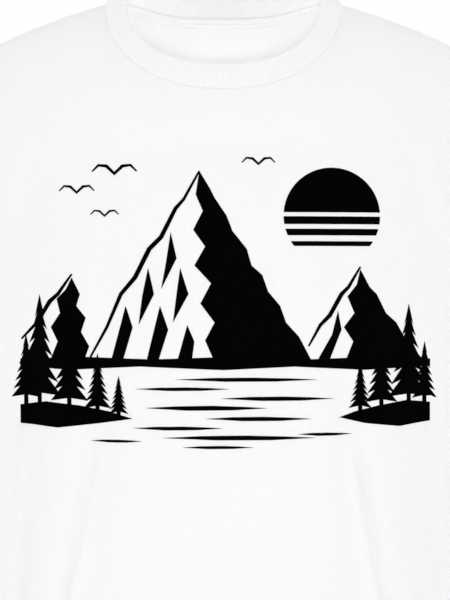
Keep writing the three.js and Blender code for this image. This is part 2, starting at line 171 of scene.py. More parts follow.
def cotton(name, light, dark, roughness):
    """Bleached cotton: high albedo with faint slubs along the wales, a little sheen of fibre ends, and
    light that passes into the yarn. Returns the material, its shader and its UV output."""
    material, shader = new_material(name, light, roughness)
    tree = material.node_tree
    shader.inputs["IOR"].default_value = 1.5  # cellulose is 1.53 along the fibre
    shader.inputs["Specular IOR Level"].default_value = 0.15
    shader.inputs["Sheen Weight"].default_value = 0.05
    shader.inputs["Sheen Roughness"].default_value = 0.6
    shader.inputs["Subsurface Weight"].default_value = 0.3
    shader.inputs["Subsurface Radius"].default_value = (1, 1, 1)
    shader.inputs["Subsurface Scale"].default_value = 0.0008
    uv = add_node(tree, "ShaderNodeUVMap").outputs["UV"]
    # slubs are thick places of the yarn, some millimetres long and a yarn wide, drawn 1.5 mm wide
    stretch = add_node(tree, "ShaderNodeMapping", {"Scale": (650, 90, 1)}, {"Vector": uv})
    slub = add_node(tree, "ShaderNodeTexNoise", {"Scale": 1, "Detail": 3}, {"Vector": stretch.outputs[0]})
    tint = add_node(tree, "ShaderNodeValToRGB", links={"Fac": slub.outputs["Fac"]})
    tint.color_ramp.elements[0].position, tint.color_ramp.elements[1].position = 0.3, 0.7
    tint.color_ramp.elements[0].color = hex_colour(dark)
    tint.color_ramp.elements[1].color = hex_colour(light)
    tree.links.new(tint.outputs["Color"], shader.inputs["Base Color"])
    return material, shader, uv


def knit_bump(tree, shader, uv, wale, course, strength, depth):
    """The V-shaped loops of a plain knit. wale and course are the loop's width and height in mm."""
    loops = add_node(tree, "ShaderNodeMapping", {"Scale": (1000 / wale, 1000 / course, 1)}, {"Vector": uv})
    parts = add_node(tree, "ShaderNodeSeparateXYZ", links={"Vector": loops.outputs[0]})
    arm = add_node(tree, "ShaderNodeMath", {"operation": "PINGPONG", 1: 0.5}, {0: parts.outputs["X"]})
    lean = add_node(tree, "ShaderNodeMath", {"operation": "ADD"}, {0: arm.outputs[0], 1: parts.outputs["Y"]})
    turn = add_node(tree, "ShaderNodeMath", {"operation": "MULTIPLY", 1: 2 * math.pi}, {0: lean.outputs[0]})
    row = add_node(tree, "ShaderNodeMath", {"operation": "SINE"}, {0: turn.outputs[0]})
    raised = {0: row.outputs[0], 2: arm.outputs[0]}
    height = add_node(tree, "ShaderNodeMath", {"operation": "MULTIPLY_ADD", 1: 0.3}, raised)
    how_deep = {"Strength": strength, "Distance": depth * MM}
    bump = add_node(tree, "ShaderNodeBump", how_deep, {"Height": height.outputs[0]})
    tree.links.new(bump.outputs["Normal"], shader.inputs["Normal"])


# %% Jersey, rib, tape and thread
# The yarn's loops are 0.75 mm wide on the real cloth, and are drawn 1.5 mm wide to show at all
jersey, jersey_shader, jersey_uv = cotton("bleached_cotton_jersey", "F9F9F9", "F7F7F7", 0.9)
knit_bump(jersey.node_tree, jersey_shader, jersey_uv, 1.5, 1.2, 0.35, 0.25)
ribbed, ribbed_shader, ribbed_uv = cotton("cotton_rib_knit", "FAFAFA", "F8F8F8", 0.92)
knit_bump(ribbed.node_tree, ribbed_shader, ribbed_uv, 1.8, 1.3, 0.3, 0.2)
# A twill tape has diagonal ridges about 1 mm apart
twill, twill_shader, twill_uv = cotton("cotton_twill_tape", "FDFDFD", "FAFAFA", 0.85)
slanting = {"bands_direction": "DIAGONAL", "Scale": 320, "Distortion": 0.5}
ridges = add_node(twill.node_tree, "ShaderNodeTexWave", slanting, {"Vector": twill_uv})
shallow = {"Strength": 0.2, "Distance": 0.3 * MM}
ridge_bump = add_node(twill.node_tree, "ShaderNodeBump", shallow, {"Height": ridges.outputs["Fac"]})
twill.node_tree.links.new(ridge_bump.outputs["Normal"], twill_shader.inputs["Normal"])
# Sewing thread is polyester wrapped in cotton, smoother than the cloth and twisted
thread, thread_shader, _ = cotton("polyester_core_thread", "FAFAFA", "F4F4F4", 0.6)
object_places = add_node(thread.node_tree, "ShaderNodeTexCoord").outputs["Object"]
slanting = {"bands_direction": "DIAGONAL", "Scale": 700}
twist = add_node(thread.node_tree, "ShaderNodeTexWave", slanting, {"Vector": object_places})
shallow = {"Strength": 0.3, "Distance": 0.1 * MM}
twist_bump = add_node(thread.node_tree, "ShaderNodeBump", shallow, {"Height": twist.outputs["Fac"]})
thread.node_tree.links.new(twist_bump.outputs["Normal"], thread_shader.inputs["Normal"])

# %% Ink
# Plastisol ink is pressed through a screen and cured by heat. It dries matt and dead black, and the
# knit shows through it as a fine grain.
ink, ink_shader = new_material("plastisol_screen_ink", "040404", 0.75)
ink_shader.inputs["Specular IOR Level"].default_value = 0.01
places = add_node(ink.node_tree, "ShaderNodeTexCoord").outputs["Object"]
grain = add_node(ink.node_tree, "ShaderNodeTexNoise", {"Scale": 900, "Detail": 2}, {"Vector": places})
grain_colour = add_node(ink.node_tree, "ShaderNodeValToRGB", links={"Fac": grain.outputs["Fac"]})
grain_colour.color_ramp.elements[0].color = hex_colour("010101")
grain_colour.color_ramp.elements[1].color = hex_colour("050505")
ink.node_tree.links.new(grain_colour.outputs["Color"], ink_shader.inputs["Base Color"])
grain_bump = add_node(ink.node_tree, "ShaderNodeBump", shallow, {"Height": grain.outputs["Fac"]})
ink.node_tree.links.new(grain_bump.outputs["Normal"], ink_shader.inputs["Normal"])
print("finishes:", ", ".join(finish.name for finish in (jersey, ribbed, twill, thread, ink)))

# %% [markdown]
# ## The cut
# A shirt on its wearer is an oval tube that closes in over the shoulders. It could be sculpted, but the
# solids already follow a few measured curves: body sections, the shoulder line, the armhole, the neck
# seam and the fold lines. The same curves are used here, so that the cloth starts where the solids are.

# %% Dimensions, in millimetres
NECK_HALF, SHOULDER_HALF = 103, 232
SHOULDER_LIFT = 4.5  # the cloth lies this much above the solids there, so that the rolled seam is level
SHOULDER_SLOPE, SHOULDER_CURL = 0.29, 0.00095
UNDERARM_Z, HEM_Z, BACK_HEM_DROP = -245, -712, 8
SQUARENESS, NECK_SQUARENESS, UPPER_SPREAD, NECK_BLEND = 2.25, 2.15, 46, 8
NECK_SHARE = 0.45
RIB_HEIGHT, RIB_CLOTH, RIB_PROUD, HEM_FOLD = 23.5, 2.4, 0.7, 22
SHOULDER_ANGLE, SLEEVE_ANGLE, UNDERARM_ANGLE, UNDER_HEM_ANGLE = 24, 53, 26, 36
SLEEVE_TOP, SLEEVE_UNDER = 215, 98
BOWED = 0.985  # straight length of the sleeve's bent top, as a share of its length
OPENING_TILT, OPENING_TALL, OPENING_DEEP = 42, 136, 98
# The width and length of each cut laid flat, without its hem
FLAT = dict(front_panel=(540, 740), back_panel=(540, 760))
FLAT.update(sleeve_left=(420, 215), sleeve_right=(420, 215))
# Half width and depths of the body at heights below the neck points
SECTIONS = [
    dict(z=-245, width=220, front=120, back=106),
    dict(z=-350, width=214, front=121, back=97),
    dict(z=-480, width=209, front=116, back=88),
    dict(z=-600, width=210, front=111, back=90),
    dict(z=-720, width=215, front=110, back=96),
]
# Each half's side of Y, the height where it is full and how it rounds over the shoulders, the line
# across its neck, its neck seam, and how far in its armhole curves
FRONT = dict(side="front", way=-1, full=-205, bend=1.3, swell=1.6, lift=-8, reach=6)
FRONT.update(neck_drop=76, neck_deep=73, neck_bow=0.75, neck_arch=0, arm_in=192, arm_up=201)
BACK = dict(side="back", way=1, full=-190, bend=1.5, swell=2, lift=35, reach=2)
BACK.update(neck_drop=6, neck_deep=58, neck_bow=0.9, neck_arch=43, arm_in=198, arm_up=209)
# Folds that hang from the chest and the shoulder blades. Each has its angle from the centre front at
# its start and at the hem, the height of its start, its half width in degrees and its depth.
FOLDS = [
    (29, 58, -275, 11, 13), (-30, -59, -270, 11, 13), (46, 78, -262, 11, 12),
    (-47, -79, -266, 11, 11), (4, 9, -420, 20, 5), (96, 98, -290, 11, 11),
    (-97, -100, -300, 11, 11), (124, 119, -270, 11, 12), (-123, -121, -280, 11, 13),
    (150, 141, -220, 12, 14), (-149, -143, -230, 12, 13), (172, 166, -330, 12, 9),
    (-173, -168, -310, 12, 10),
]


# %% Sections and folds
def clamp(x, low=0.0, high=1.0):
    return min(max(x, low), high)


def mix(a, b, t):
    return a + (b - a) * t


def smooth(x):
    x = clamp(x)
    return x * x * (3 - 2 * x)


def power(x, exponent):
    return math.copysign(abs(x) ** exponent, x)


def section_value(z, key):
    """A value of the section table at a height, by a cubic through its rows"""
    last = len(SECTIONS) - 1
    i = 0
    while i < last - 1 and z < SECTIONS[i + 1]["z"]:
        i += 1

    def slope(k):
        a, b = SECTIONS[max(k - 1, 0)], SECTIONS[min(k + 1, last)]
        return (b[key] - a[key]) / (b["z"] - a["z"])

    a, b = SECTIONS[i], SECTIONS[i + 1]
    span = b["z"] - a["z"]
    t = clamp((z - a["z"]) / span)
    ends = a[key] * (2 * t**3 - 3 * t**2 + 1) + b[key] * (3 * t**2 - 2 * t**3)
    return ends + span * (slope(i) * (t**3 - 2 * t**2 + t) + slope(i + 1) * (t**3 - t**2))


def fold_out(angle, z):
    """How far the folds stand out at an angle in degrees and a height"""
    out = 0
    for at_start, at_hem, start, half_width, depth in FOLDS:
        down = (start - z) / (start - HEM_Z)
        if down > 0:
            away = abs((angle - mix(at_start, at_hem, down) + 540) % 360 - 180) / half_width
            out += depth * smooth(down) * math.cos(min(away, 1) * math.pi / 2) ** 2
    return out


# %% The body's surface
def ridge(x, half):
    """Height of the line over the shoulders, which is only imagined across the neck"""
    out = abs(x) - NECK_HALF
    along = out if out > 0 else 30 * (math.exp(out / 30) - 1)
    centred = max(0, 1 - abs(x / NECK_HALF) ** half["reach"]) ** 1.5
    fall = SHOULDER_SLOPE * along
    return SHOULDER_LIFT + half["lift"] * centred - fall - SHOULDER_CURL * max(out, 0) ** 2


TIP = ridge(SHOULDER_HALF, FRONT)


def upper_point(half, x, z):
    """A point above the underarm, from its place in the front view"""
    top = ridge(x, half)
    down = clamp((top - z) / (top - half["full"]))
    width = SECTIONS[0]["width"] + UPPER_SPREAD * smooth((z - UNDERARM_Z) / (TIP - UNDERARM_Z))
    across = max(0, 1 - abs(x / width) ** SQUARENESS) ** (1 / SQUARENESS)
    over = (1 - (1 - down) ** half["bend"]) ** (1 / half["swell"])
    return Vector((x, half["way"] * section_value(UNDERARM_Z, half["side"]) * across * over, z))


def lower_point(half, u, share):
    """A point below the underarm, u from -1 at one side seam to 1 at the other"""
    around = u * 90 if half is FRONT else 180 - u * 90
    hem = HEM_Z - BACK_HEM_DROP * (1 - math.cos(math.radians(around))) / 2
    z = mix(UNDERARM_Z, hem, share)
    width, depth = section_value(z, "width"), section_value(z, half["side"])
    x = width * power(math.sin(u * math.pi / 2), 2 / SQUARENESS)
    y = half["way"] * depth * max(math.cos(u * math.pi / 2), 0) ** (2 / SQUARENESS)
    outward = Vector((x / width**2, y / depth**2, 0)).normalized()
    return Vector((x, y, z)) + outward * fold_out(around, z)


def armhole(half, v):
    """The armhole seam in the front view, from the underarm at 0 to the shoulder at 1"""
    across = (SECTIONS[0]["width"], half["arm_in"], half["arm_up"], SHOULDER_HALF)
    up = (UNDERARM_Z, mix(UNDERARM_Z, TIP, 0.12), mix(UNDERARM_Z, TIP, 0.62), TIP)
    share = ((1 - v) ** 3, 3 * v * (1 - v) ** 2, 3 * v * v * (1 - v), v**3)
    return Vector([sum(a * b for a, b in zip(row, share)) for row in (across, up)])


def neck_seam(half, u):
    """The neck seam of a panel, u from the centre to the neck point"""
    angle = clamp(u / NECK_SHARE) * math.pi / 2
    across = math.sin(angle) ** (2 / NECK_SQUARENESS)
    down = max(math.cos(angle), 0) ** (2 / NECK_SQUARENESS)
    arch = half["neck_arch"] * across**4 * (1 - across**2)
    z = arch - half["neck_drop"] * down + SHOULDER_LIFT * across**4
    return Vector((NECK_HALF * across, half["way"] * half["neck_deep"] * down ** half["neck_bow"], z))


def top_edge(half, u):
    if u <= NECK_SHARE:
        return neck_seam(half, u).xz
    x = mix(NECK_HALF, SHOULDER_HALF, (u - NECK_SHARE) / (1 - NECK_SHARE))
    return Vector((x, ridge(x, half)))


def bottom_edge(u):
    return Vector((SECTIONS[0]["width"] * math.sin(u * math.pi / 2) ** (2 / SQUARENESS), UNDERARM_Z))


def body_point(half, u, v):
    """A panel's point: v runs from the hem at -1 over the underarm at 0 to the top edge at 1"""
    if v < 0:
        return lower_point(half, u, -v)
    side = abs(u)
    left, right = Vector((0, mix(UNDERARM_Z, -half["neck_drop"], v))), armhole(half, v)
    place = mix(bottom_edge(side), top_edge(half, side), v) + mix(left, right, side)
    lower = mix(bottom_edge(0), bottom_edge(1), side)
    upper = mix(top_edge(half, 0), top_edge(half, 1), side)
    place -= mix(lower, upper, v)
    point = upper_point(half, math.copysign(place.x, u), place.y)
    if side < NECK_SHARE:
        seam = neck_seam(half, side)
        point.y += (seam.y - upper_point(half, seam.x, seam.z).y) * v**NECK_BLEND
    return point


# %% The sleeve's surface
UPPER_ROWS, LOWER_ROWS, COLUMNS, SLEEVE_ROWS = 40, 64, 80, 30
HEM_ROWS = 3  # of the sleeve's rows, so that a row ends where the hem starts
CROWDING = 1.25


def upper_share(t):
    """Rows crowd towards the shoulder, where the cloth turns over it"""
    return 1 - (1 - t) ** CROWDING


def slope_down(angle):
    return Vector((math.cos(math.radians(angle)), 0, -math.sin(math.radians(angle))))


def sleeve_point(turn, share):
    """A left sleeve's point: turn 0 on top, over the front, to 1. share 0 at the armhole, 1 at the hem"""
    half, v = (FRONT, 1 - 2 * turn) if turn <= 0.5 else (BACK, 2 * turn - 1)
    start = body_point(half, 1, upper_share(v))
    angle = turn * 2 * math.pi
    across = slope_down(OPENING_TILT - 90)
    along = slope_down((SLEEVE_ANGLE + SHOULDER_ANGLE) / 2)
    middle = body_point(FRONT, 1, 1) + along * SLEEVE_TOP * BOWED
    end = middle + across * (math.cos(angle) - 1) * OPENING_TALL / 2
    end.y = -OPENING_DEEP / 2 * math.sin(angle)
    under = (1 - math.cos(angle)) / 2
    reach = mix(SLEEVE_TOP, SLEEVE_UNDER, under)
    leave = slope_down(mix(SHOULDER_ANGLE, UNDERARM_ANGLE, under)) * reach
    arrive = slope_down(mix(SLEEVE_ANGLE, UNDER_HEM_ANGLE, under)) * reach
    t, t2, t3 = share, share**2, share**3
    ends = start * (2 * t3 - 3 * t2 + 1) + end * (3 * t2 - 2 * t3)
    return ends + leave * (t3 - 2 * t2 + t) + arrive * (t3 - t2)


# %% [markdown]
# ## One welded sheet
# Cloth drapes across its seams, so the panels are simulated as one sheet. Each panel starts as a flat
# grid, whose vertices are moved to the cut's surface. The flat place becomes the UV map in metres,
# which the knit follows later. Welding their edges sews them.

# %% Grids moved to the cut
PANELS = ["front_panel", "back_panel", "sleeve_left", "sleeve_right"]


def add_grid(mesh, panel, columns, rows, place):
    """Adds a grid to the sheet. place gives a vertex's point in millimetres from its shares."""
    old = len(mesh.faces)
    width, length = FLAT[panel]
    made = bmesh.ops.create_grid(mesh, x_segments=columns, y_segments=rows, size=1, calc_uvs=True)
    mesh.faces.ensure_lookup_table()
    uv = mesh.loops.layers.uv.verify()
    for face in mesh.faces[old:]:
        face.material_index = PANELS.index(panel)
        for loop in face.loops:
            x, y = loop.vert.co.xy
            loop[uv].uv = ((x + 1) / 2 * width * MM, (y + 1) / 2 * length * MM)
    for vert in made["verts"]:
        vert.co = place((vert.co.x + 1) / 2, (vert.co.y + 1) / 2) * MM


def panel_place(half):
    """A function that gives a panel's points from their shares across and up"""
    def place(across, up):
        row = up * (LOWER_ROWS + UPPER_ROWS)
        v = row / LOWER_ROWS - 1 if row <= LOWER_ROWS else upper_share((row - LOWER_ROWS) / UPPER_ROWS)
        return body_point(half, 2 * across - 1, v)

    return place


def sleeve_place(sideways):
    """A function that gives a sleeve's points from their shares around and down"""
    def place(across, up):
        length = mix(SLEEVE_TOP, SLEEVE_UNDER, (1 - math.cos(across * 2 * math.pi)) / 2)
        hem, row = HEM_FOLD / length, up * SLEEVE_ROWS
        rest = SLEEVE_ROWS - HEM_ROWS
        share = row / rest * (1 - hem) if row <= rest else 1 - hem * (SLEEVE_ROWS - row) / HEM_ROWS
        point = sleeve_point(across, share)
        return Vector((point.x * sideways, point.y, point.z))

    return place


sheet = bmesh.new()
add_grid(sheet, "front_panel", COLUMNS, LOWER_ROWS + UPPER_ROWS, panel_place(FRONT))
add_grid(sheet, "back_panel", COLUMNS, LOWER_ROWS + UPPER_ROWS, panel_place(BACK))
add_grid(sheet, "sleeve_left", 2 * UPPER_ROWS, SLEEVE_ROWS, sleeve_place(1))
add_grid(sheet, "sleeve_right", 2 * UPPER_ROWS, SLEEVE_ROWS, sleeve_place(-1))
bmesh.ops.remove_doubles(sheet, verts=sheet.verts, dist=0.3 * MM)
bmesh.ops.recalc_face_normals(sheet, faces=sheet.faces)
loose = [e for e in sheet.edges if e.is_boundary]
print("sheet:", len(sheet.verts), "vertices and", len(loose), "open edges")

# %% [markdown]
# ## Creases that every worn shirt has
# Below the arms a shirt has more cloth than the wearer fills, and it gathers into creases that start at
# the armpit: up beside the armhole, over the sleeve and down the side. They could be left to chance, but
# listed one by one they lie where they should. The simulation then softens them.

# %% Creases, listed one by one
CREASE_STEPS = 16
CREASE_REACH = 0.2  # in metres, no vertex further from a crease's middle is looked at
# Each is a line of places on a panel, its half width and its depth. Places are shares of the panel
# across and up, or of the sleeve around and down.
CREASES = [
    ("front_panel", [(0.985, 0.62), (0.925, 0.72), (0.895, 0.84)], 13, 7),
    ("front_panel", [(0.975, 0.60), (0.90, 0.645), (0.84, 0.69)], 11, 4),
    ("front_panel", [(0.99, 0.585), (0.95, 0.50), (0.90, 0.40)], 12, 6),
    ("front_panel", [(0.985, 0.55), (0.975, 0.44), (0.955, 0.32)], 10, 5),
    ("back_panel", [(0.985, 0.62), (0.93, 0.73), (0.91, 0.85)], 13, 8),
    ("back_panel", [(0.97, 0.60), (0.89, 0.66), (0.81, 0.74)], 13, 6),
    ("back_panel", [(0.985, 0.58), (0.93, 0.51), (0.86, 0.43)], 12, 6),
    ("sleeve", [(0.44, 0.06), (0.33, 0.20), (0.22, 0.30)], 10, 6),
    ("sleeve", [(0.45, 0.28), (0.34, 0.48), (0.25, 0.60)], 10, 6),
    ("sleeve", [(0.42, 0.62), (0.31, 0.78), (0.24, 0.84)], 9, 4),
    ("sleeve", [(0.56, 0.08), (0.68, 0.22), (0.79, 0.33)], 11, 6),
    ("sleeve", [(0.55, 0.36), (0.67, 0.52), (0.76, 0.62)], 10, 6),
    ("sleeve", [(0.57, 0.70), (0.68, 0.82), (0.77, 0.86)], 9, 4),
    ("sleeve", [(0.40, 0.20), (0.50, 0.24), (0.60, 0.20)], 8, 5),
    ("sleeve", [(0.41, 0.50), (0.50, 0.53), (0.60, 0.48)], 8, 4),
]


def crease_line(panel, places, sideways):
    """Points along a crease, in metres, by a curve through its three places"""
    half = BACK if panel == "back_panel" else FRONT
    points = []
    for k in range(CREASE_STEPS + 1):
        s = k / CREASE_STEPS
        share = (1 - s) * (1 - s), 2 * s * (1 - s), s * s
        middle = [2 * b - (a + c) / 2 for a, b, c in zip(*places)]
        x, y = [sum(w * p[i] for w, p in zip(share, (places[0], middle, places[2]))) for i in (0, 1)]
        if panel == "sleeve":
            points.append(sleeve_place(sideways)(x, y) * MM)
        else:
            points.append(panel_place(half)(0.5 + (x - 0.5) * sideways, y) * MM)
    return points


def press_crease(mesh, line, half_width, depth):
    """Raises a rounded ridge along the line, with a shallow valley on both sides, fading at its ends"""
    for vert in mesh.verts:
        if (vert.co - line[CREASE_STEPS // 2]).length > CREASE_REACH:
            continue
        along, away = min(((i, (vert.co - p).length) for i, p in enumerate(line)), key=lambda x: x[1])
        far = (away / (half_width * MM)) ** 2
        if far < 9:
            fade = math.sin(math.pi * mix(0.12, 1, along / CREASE_STEPS)) ** 0.8
            vert.co += vert.normal * (depth * MM * fade * (1 - 0.55 * far) * math.exp(-far))


# %% Even out beside the neck, then press the creases
NECK_SMOOTHINGS = 14  # where the panels turn from the neck seam to the shoulder seam
beside_neck = [
    v for v in sheet.verts
    if not v.is_boundary and 60 < abs(v.co.x) / MM < 160 and -110 < v.co.z / MM
    and len({face.material_index for face in v.link_faces}) == 1
]
all_ways = dict(use_axis_x=True, use_axis_y=True, use_axis_z=True)
for _ in range(NECK_SMOOTHINGS):
    bmesh.ops.smooth_vert(sheet, verts=beside_neck, factor=0.5, **all_ways)
sheet.normal_update()
for number, (panel, places, half_width, depth) in enumerate(CREASES):
    for sideways in (1, -1):
        moved = [(x + 0.012 * math.sin(7 * number + 3 * sideways), y) for x, y in places]
        uneven = 1 + 0.25 * math.sin(5 * number + 2 * sideways)
        press_crease(sheet, crease_line(panel, moved, sideways), half_width, depth * uneven)
print("creases:", 2 * len(CREASES))

# %% [markdown]
# ## The drape
# Knitted cotton lies on the shoulders, the chest and the upper arms, and hangs from there. A simulation
# finds folds that nobody would place by hand, but left alone it would pull the shirt out of its cut. So
# each vertex is held softly where a body would carry it, the cloth under the arms gets a few per cent
# of ease so that it has to crease, and no point may move further than a cap.

# %% Where a body carries the cloth, and where the cloth has ease
def carried(vert):
    """1 at the neck seam, high where the cloth faces up, and little where it hangs"""
    x, z = abs(vert.co.x) / MM, vert.co.z / MM
    if vert.is_boundary and x < NECK_HALF + 1 and z > -90:
        return 1.0
    on_top = 0.5 * smooth(vert.normal.z * 1.4)
    chest = 0.1 * smooth((z + 330) / 160) * smooth((215 - x) / 90)
    return min(0.95, 0.012 + on_top + chest)


def ease(vert):
    """High under the arms, less over the sleeves and the waist, none on the chest"""
    x, z = abs(vert.co.x) / MM, vert.co.z / MM
    armpit = math.exp(-((x - 212) ** 2 + (z + 235) ** 2) / 105**2)
    sleeve = 0.5 * smooth((x - 225) / 60)
    waist = 0.12 * smooth((-330 - z) / 200)
    return clamp((armpit + sleeve + waist) * (1 - smooth(vert.normal.z * 1.2)))


# %% Simulate, cap and apply
MOST_MOVED, FRAMES = 14 * MM, 30


def drape(mesh):
    """Lets the sheet settle under its own weight, and says how far a point went before the cap"""
    thing = bpy.data.objects.new("draping", bpy.data.meshes.new("draping"))
    mesh.to_mesh(thing.data)
    bpy.context.collection.objects.link(thing)
    for name, weight in (("carried", carried), ("ease", ease)):
        group = thing.vertex_groups.new(name=name)
        for vert in mesh.verts:
            group.add([vert.index], weight(vert), "REPLACE")
    cloth = thing.modifiers.new("drape", "CLOTH")
    settings = cloth.settings
    settings.quality = 5
    settings.mass = 0.006
    settings.tension_stiffness = settings.compression_stiffness = 12
    settings.shear_stiffness = 4
    settings.bending_stiffness = 0.12
    settings.air_damping = 2
    settings.vertex_group_mass = "carried"
    settings.pin_stiffness = 1
    settings.vertex_group_shrink = "ease"
    settings.shrink_min, settings.shrink_max = 0, -0.13
    cloth.collision_settings.use_collision = False
    cloth.collision_settings.use_self_collision = False
    cloth.point_cache.frame_start, cloth.point_cache.frame_end = 1, FRAMES
    for number in range(1, FRAMES + 1):
        bpy.context.scene.frame_set(number)
    draped = thing.evaluated_get(bpy.context.evaluated_depsgraph_get()).to_mesh()
    farthest = 0
    for vert, settled in zip(mesh.verts, draped.vertices):
        move = settled.co - vert.co
        farthest = max(farthest, move.length)
        if move.length > 0:
            vert.co += move * (math.tanh(move.length / MOST_MOVED) * MOST_MOVED / move.length)
    bpy.data.objects.remove(thing)
    bpy.context.scene.frame_set(1)
    return farthest


sheet.verts.index_update()
sheet.normal_update()
print("drape: moved up to", round(drape(sheet) / MM, 1), "mm before the cap")


# %% [markdown]
# ## Finer cloth, and the seams found
# The sheet is subdivided once, to about 3.6 mm, which is fine enough for seams and hems. Where two
# panels meet there is a seam, and where the sheet ends there is a hem or the neck edge. Each edge is
# marked with what it is, while the sheet is still whole.

# %% Subdivide and mark
HEM, NECK, SHOULDER, SIDE, ARMHOLE = 1, 2, 3, 4, 5
KIND_NAMES = ("hem", "neck", "shoulder", "side", "armhole")


def evaluated_bmesh(thing):
    """The object's mesh with its modifiers, as a new bmesh"""
    copy = bmesh.new()
    bpy.context.view_layer.update()
    copy.from_mesh(thing.evaluated_get(bpy.context.evaluated_depsgraph_get()).to_mesh())
    return copy


def subdivided(mesh):
    """The mesh as one level of a subdivision surface"""
    thing = bpy.data.objects.new("subdividing", bpy.data.meshes.new("subdividing"))
    mesh.to_mesh(thing.data)
    bpy.context.collection.objects.link(thing)
    thing.modifiers.new("finer", "SUBSURF").levels = 1
    fine = evaluated_bmesh(thing)
    bpy.data.objects.remove(thing)
    return fine


def edge_kind(edge):
    """What an edge of the sheet is, or 0 inside a panel"""
    middle = (edge.verts[0].co + edge.verts[1].co) / 2 / MM
    if edge.is_boundary:
        return NECK if middle.z > -100 and abs(middle.x) < 110 else HEM
    panels = {face.material_index for face in edge.link_faces}
    if len(panels) == 1:
        return 0
    if max(panels) > 1:
        return ARMHOLE
    return SHOULDER if middle.z > -200 else SIDE


cloth = subdivided(sheet)
kinds = cloth.edges.layers.int.new("kind")
for edge in cloth.edges:
    edge[kinds] = edge_kind(edge)
print("cloth:", len(cloth.faces), "faces")
for kind, name in enumerate(KIND_NAMES, start=1):
    print(name, "edges:", sum(edge[kinds] == kind for edge in cloth.edges))

# %% [markdown]
# ## Furrows of the front
# Two soft furrows on each side run down a worn front from below the chest, where the cloth leaves the
# body. The simulation would put them anywhere, and bump would look painted on from the side. So they
# are pressed into the finer cloth, straight back, along lines drawn in the front view.

# %% Press the furrows
# Each is its depth, its half width, and its line of (x, z) places from its faint start to the hem
FURROW_FADE = 90  # how far below its start a furrow has its full depth
FURROWS = [
    (6.5, 10, [(-95, -322), (-101, -375), (-110, -417), (-117, -459), (-126, -497), (-165, -720)]),
    (9, 10, [(-158, -300), (-165, -375), (-172, -417), (-178, -459), (-183, -497), (-196, -720)]),
    (7, 10, [(102, -325), (108, -375), (115, -417), (123, -459), (131, -497), (170, -720)]),
    (9, 10, [(160, -300), (169, -375), (178, -417), (184, -459), (189, -497), (199, -720)]),
]


def furrow_depth(x, z):
    """How deep the furrows are at a place of the front view, in millimetres"""
    total = 0
    for depth, half_wide, line in FURROWS:
        for (x0, z0), (x1, z1) in zip(line, line[1:]):
            if z1 < z <= z0:
                centre = mix(x0, x1, (z0 - z) / (z0 - z1))
                fade = smooth((line[0][1] - z) / FURROW_FADE)
                total += depth * fade * math.exp(-(((x - centre) / half_wide) ** 2))
    return total


pressed = [(v, furrow_depth(v.co.x / MM, v.co.z / MM)) for v in cloth.verts if v.co.y < 0]
for vert, depth in pressed:
    vert.co.y += depth * MM
print("furrows: up to", round(max(depth for _, depth in pressed), 1), "mm deep")


# %% Take one panel off the sheet
def take_panel(panel):
    """A copy of the sheet without the other panels"""
    part = cloth.copy()
    index = PANELS.index(panel)
    others = [face for face in part.faces if face.material_index != index]
    bmesh.ops.delete(part, geom=others, context="FACES")
    for face in part.faces:
        face.material_index = 0
        face.smooth = True
    part.normal_update()
    return part


def edges_of(part, *wanted):
    """The open edges of a panel that were marked as one of these kinds"""
    layer = part.edges.layers.int["kind"]
    return [edge for edge in part.edges if edge.is_boundary and edge[layer] in wanted]


# %% [markdown]
# ## Seams that roll in, and hems that fold
# Two edges that are overlocked together roll to the inside and leave a fine groove outside. A hem is the
# same cloth turned up 22 mm inside. Both could be drawn by a texture, but a real groove and a real fold
# catch the light from any side, so the edges are extruded inwards.

# %% Roll the seam edges in
def follow(new, old_places):
    """The vertex that an extruded one came from"""
    return next(e.other_vert(new) for e in new.link_edges if e.other_vert(new) in old_places)


def roll_in(part, edges, back=0.45, deep=1.2):
    """Moves the edges back into the panel and extrudes them to its inside, both in millimetres"""
    edges = list(edges)
    own = set(edges)
    old = {vert: (vert.co.copy(), vert.normal.copy()) for edge in edges for vert in edge.verts}
    for vert in old:
        near = [e.other_vert(vert).co - vert.co for e in vert.link_edges if e not in own]
        if near:
            vert.co += sum(near, Vector()).normalized() * back * MM
    made = bmesh.ops.extrude_edge_only(part, edges=edges)
    for vert in [v for v in made["geom"] if isinstance(v, bmesh.types.BMVert)]:
        place, normal = old[follow(vert, old)]
        vert.co = place - normal * deep * MM


# %% Pucker the cloth beside its stitches
def pucker(part, edges, reach, height, seed):
    """Sewn cloth ripples: a fine noise, strongest some millimetres in from the edge"""
    ring = {vert: 0 for edge in edges for vert in edge.verts}
    edge_of = list(ring)
    for distance in range(1, reach + 1):
        edge_of = {e.other_vert(v) for v in edge_of for e in v.link_edges} - set(ring)
        ring.update({vert: distance for vert in edge_of})
    uv = part.loops.layers.uv.verify()
    for vert, distance in ring.items():
        place = vert.link_loops[0][uv].uv
        ripple = noise.noise(Vector((place.x * 85, place.y * 60, seed)))
        strength = math.sin(math.pi * clamp((distance + 0.6) / (reach + 1)))
        vert.co += vert.normal * ripple * height * MM * strength


# %% Turn a hem up
def walk(edges):
    """The vertices along a chain or loop of edges, in order"""
    left = set(edges)
    ends = [v for e in edges for v in e.verts if sum(x in left for x in v.link_edges) == 1]
    vert = ends[0] if ends else edges[0].verts[0]
    line = [vert]
    while left:
        step = next((e for e in vert.link_edges if e in left), None)
        if step is None:
            break
        left.remove(step)
        vert = step.other_vert(vert)
        line.append(vert)
    return line


def column_up(vert, rows):
    """The vertices above one on the hem, by way of edges that run on straight"""
    edge = next(e for e in vert.link_edges if not e.is_boundary)
    column = [vert]
    for _ in range(rows):
        vert = edge.other_vert(vert)
        column.append(vert)
        faces = set(edge.link_faces)
        edge = next((e for e in vert.link_edges if not faces & set(e.link_faces)), None)
        if edge is None:
            break
    return column


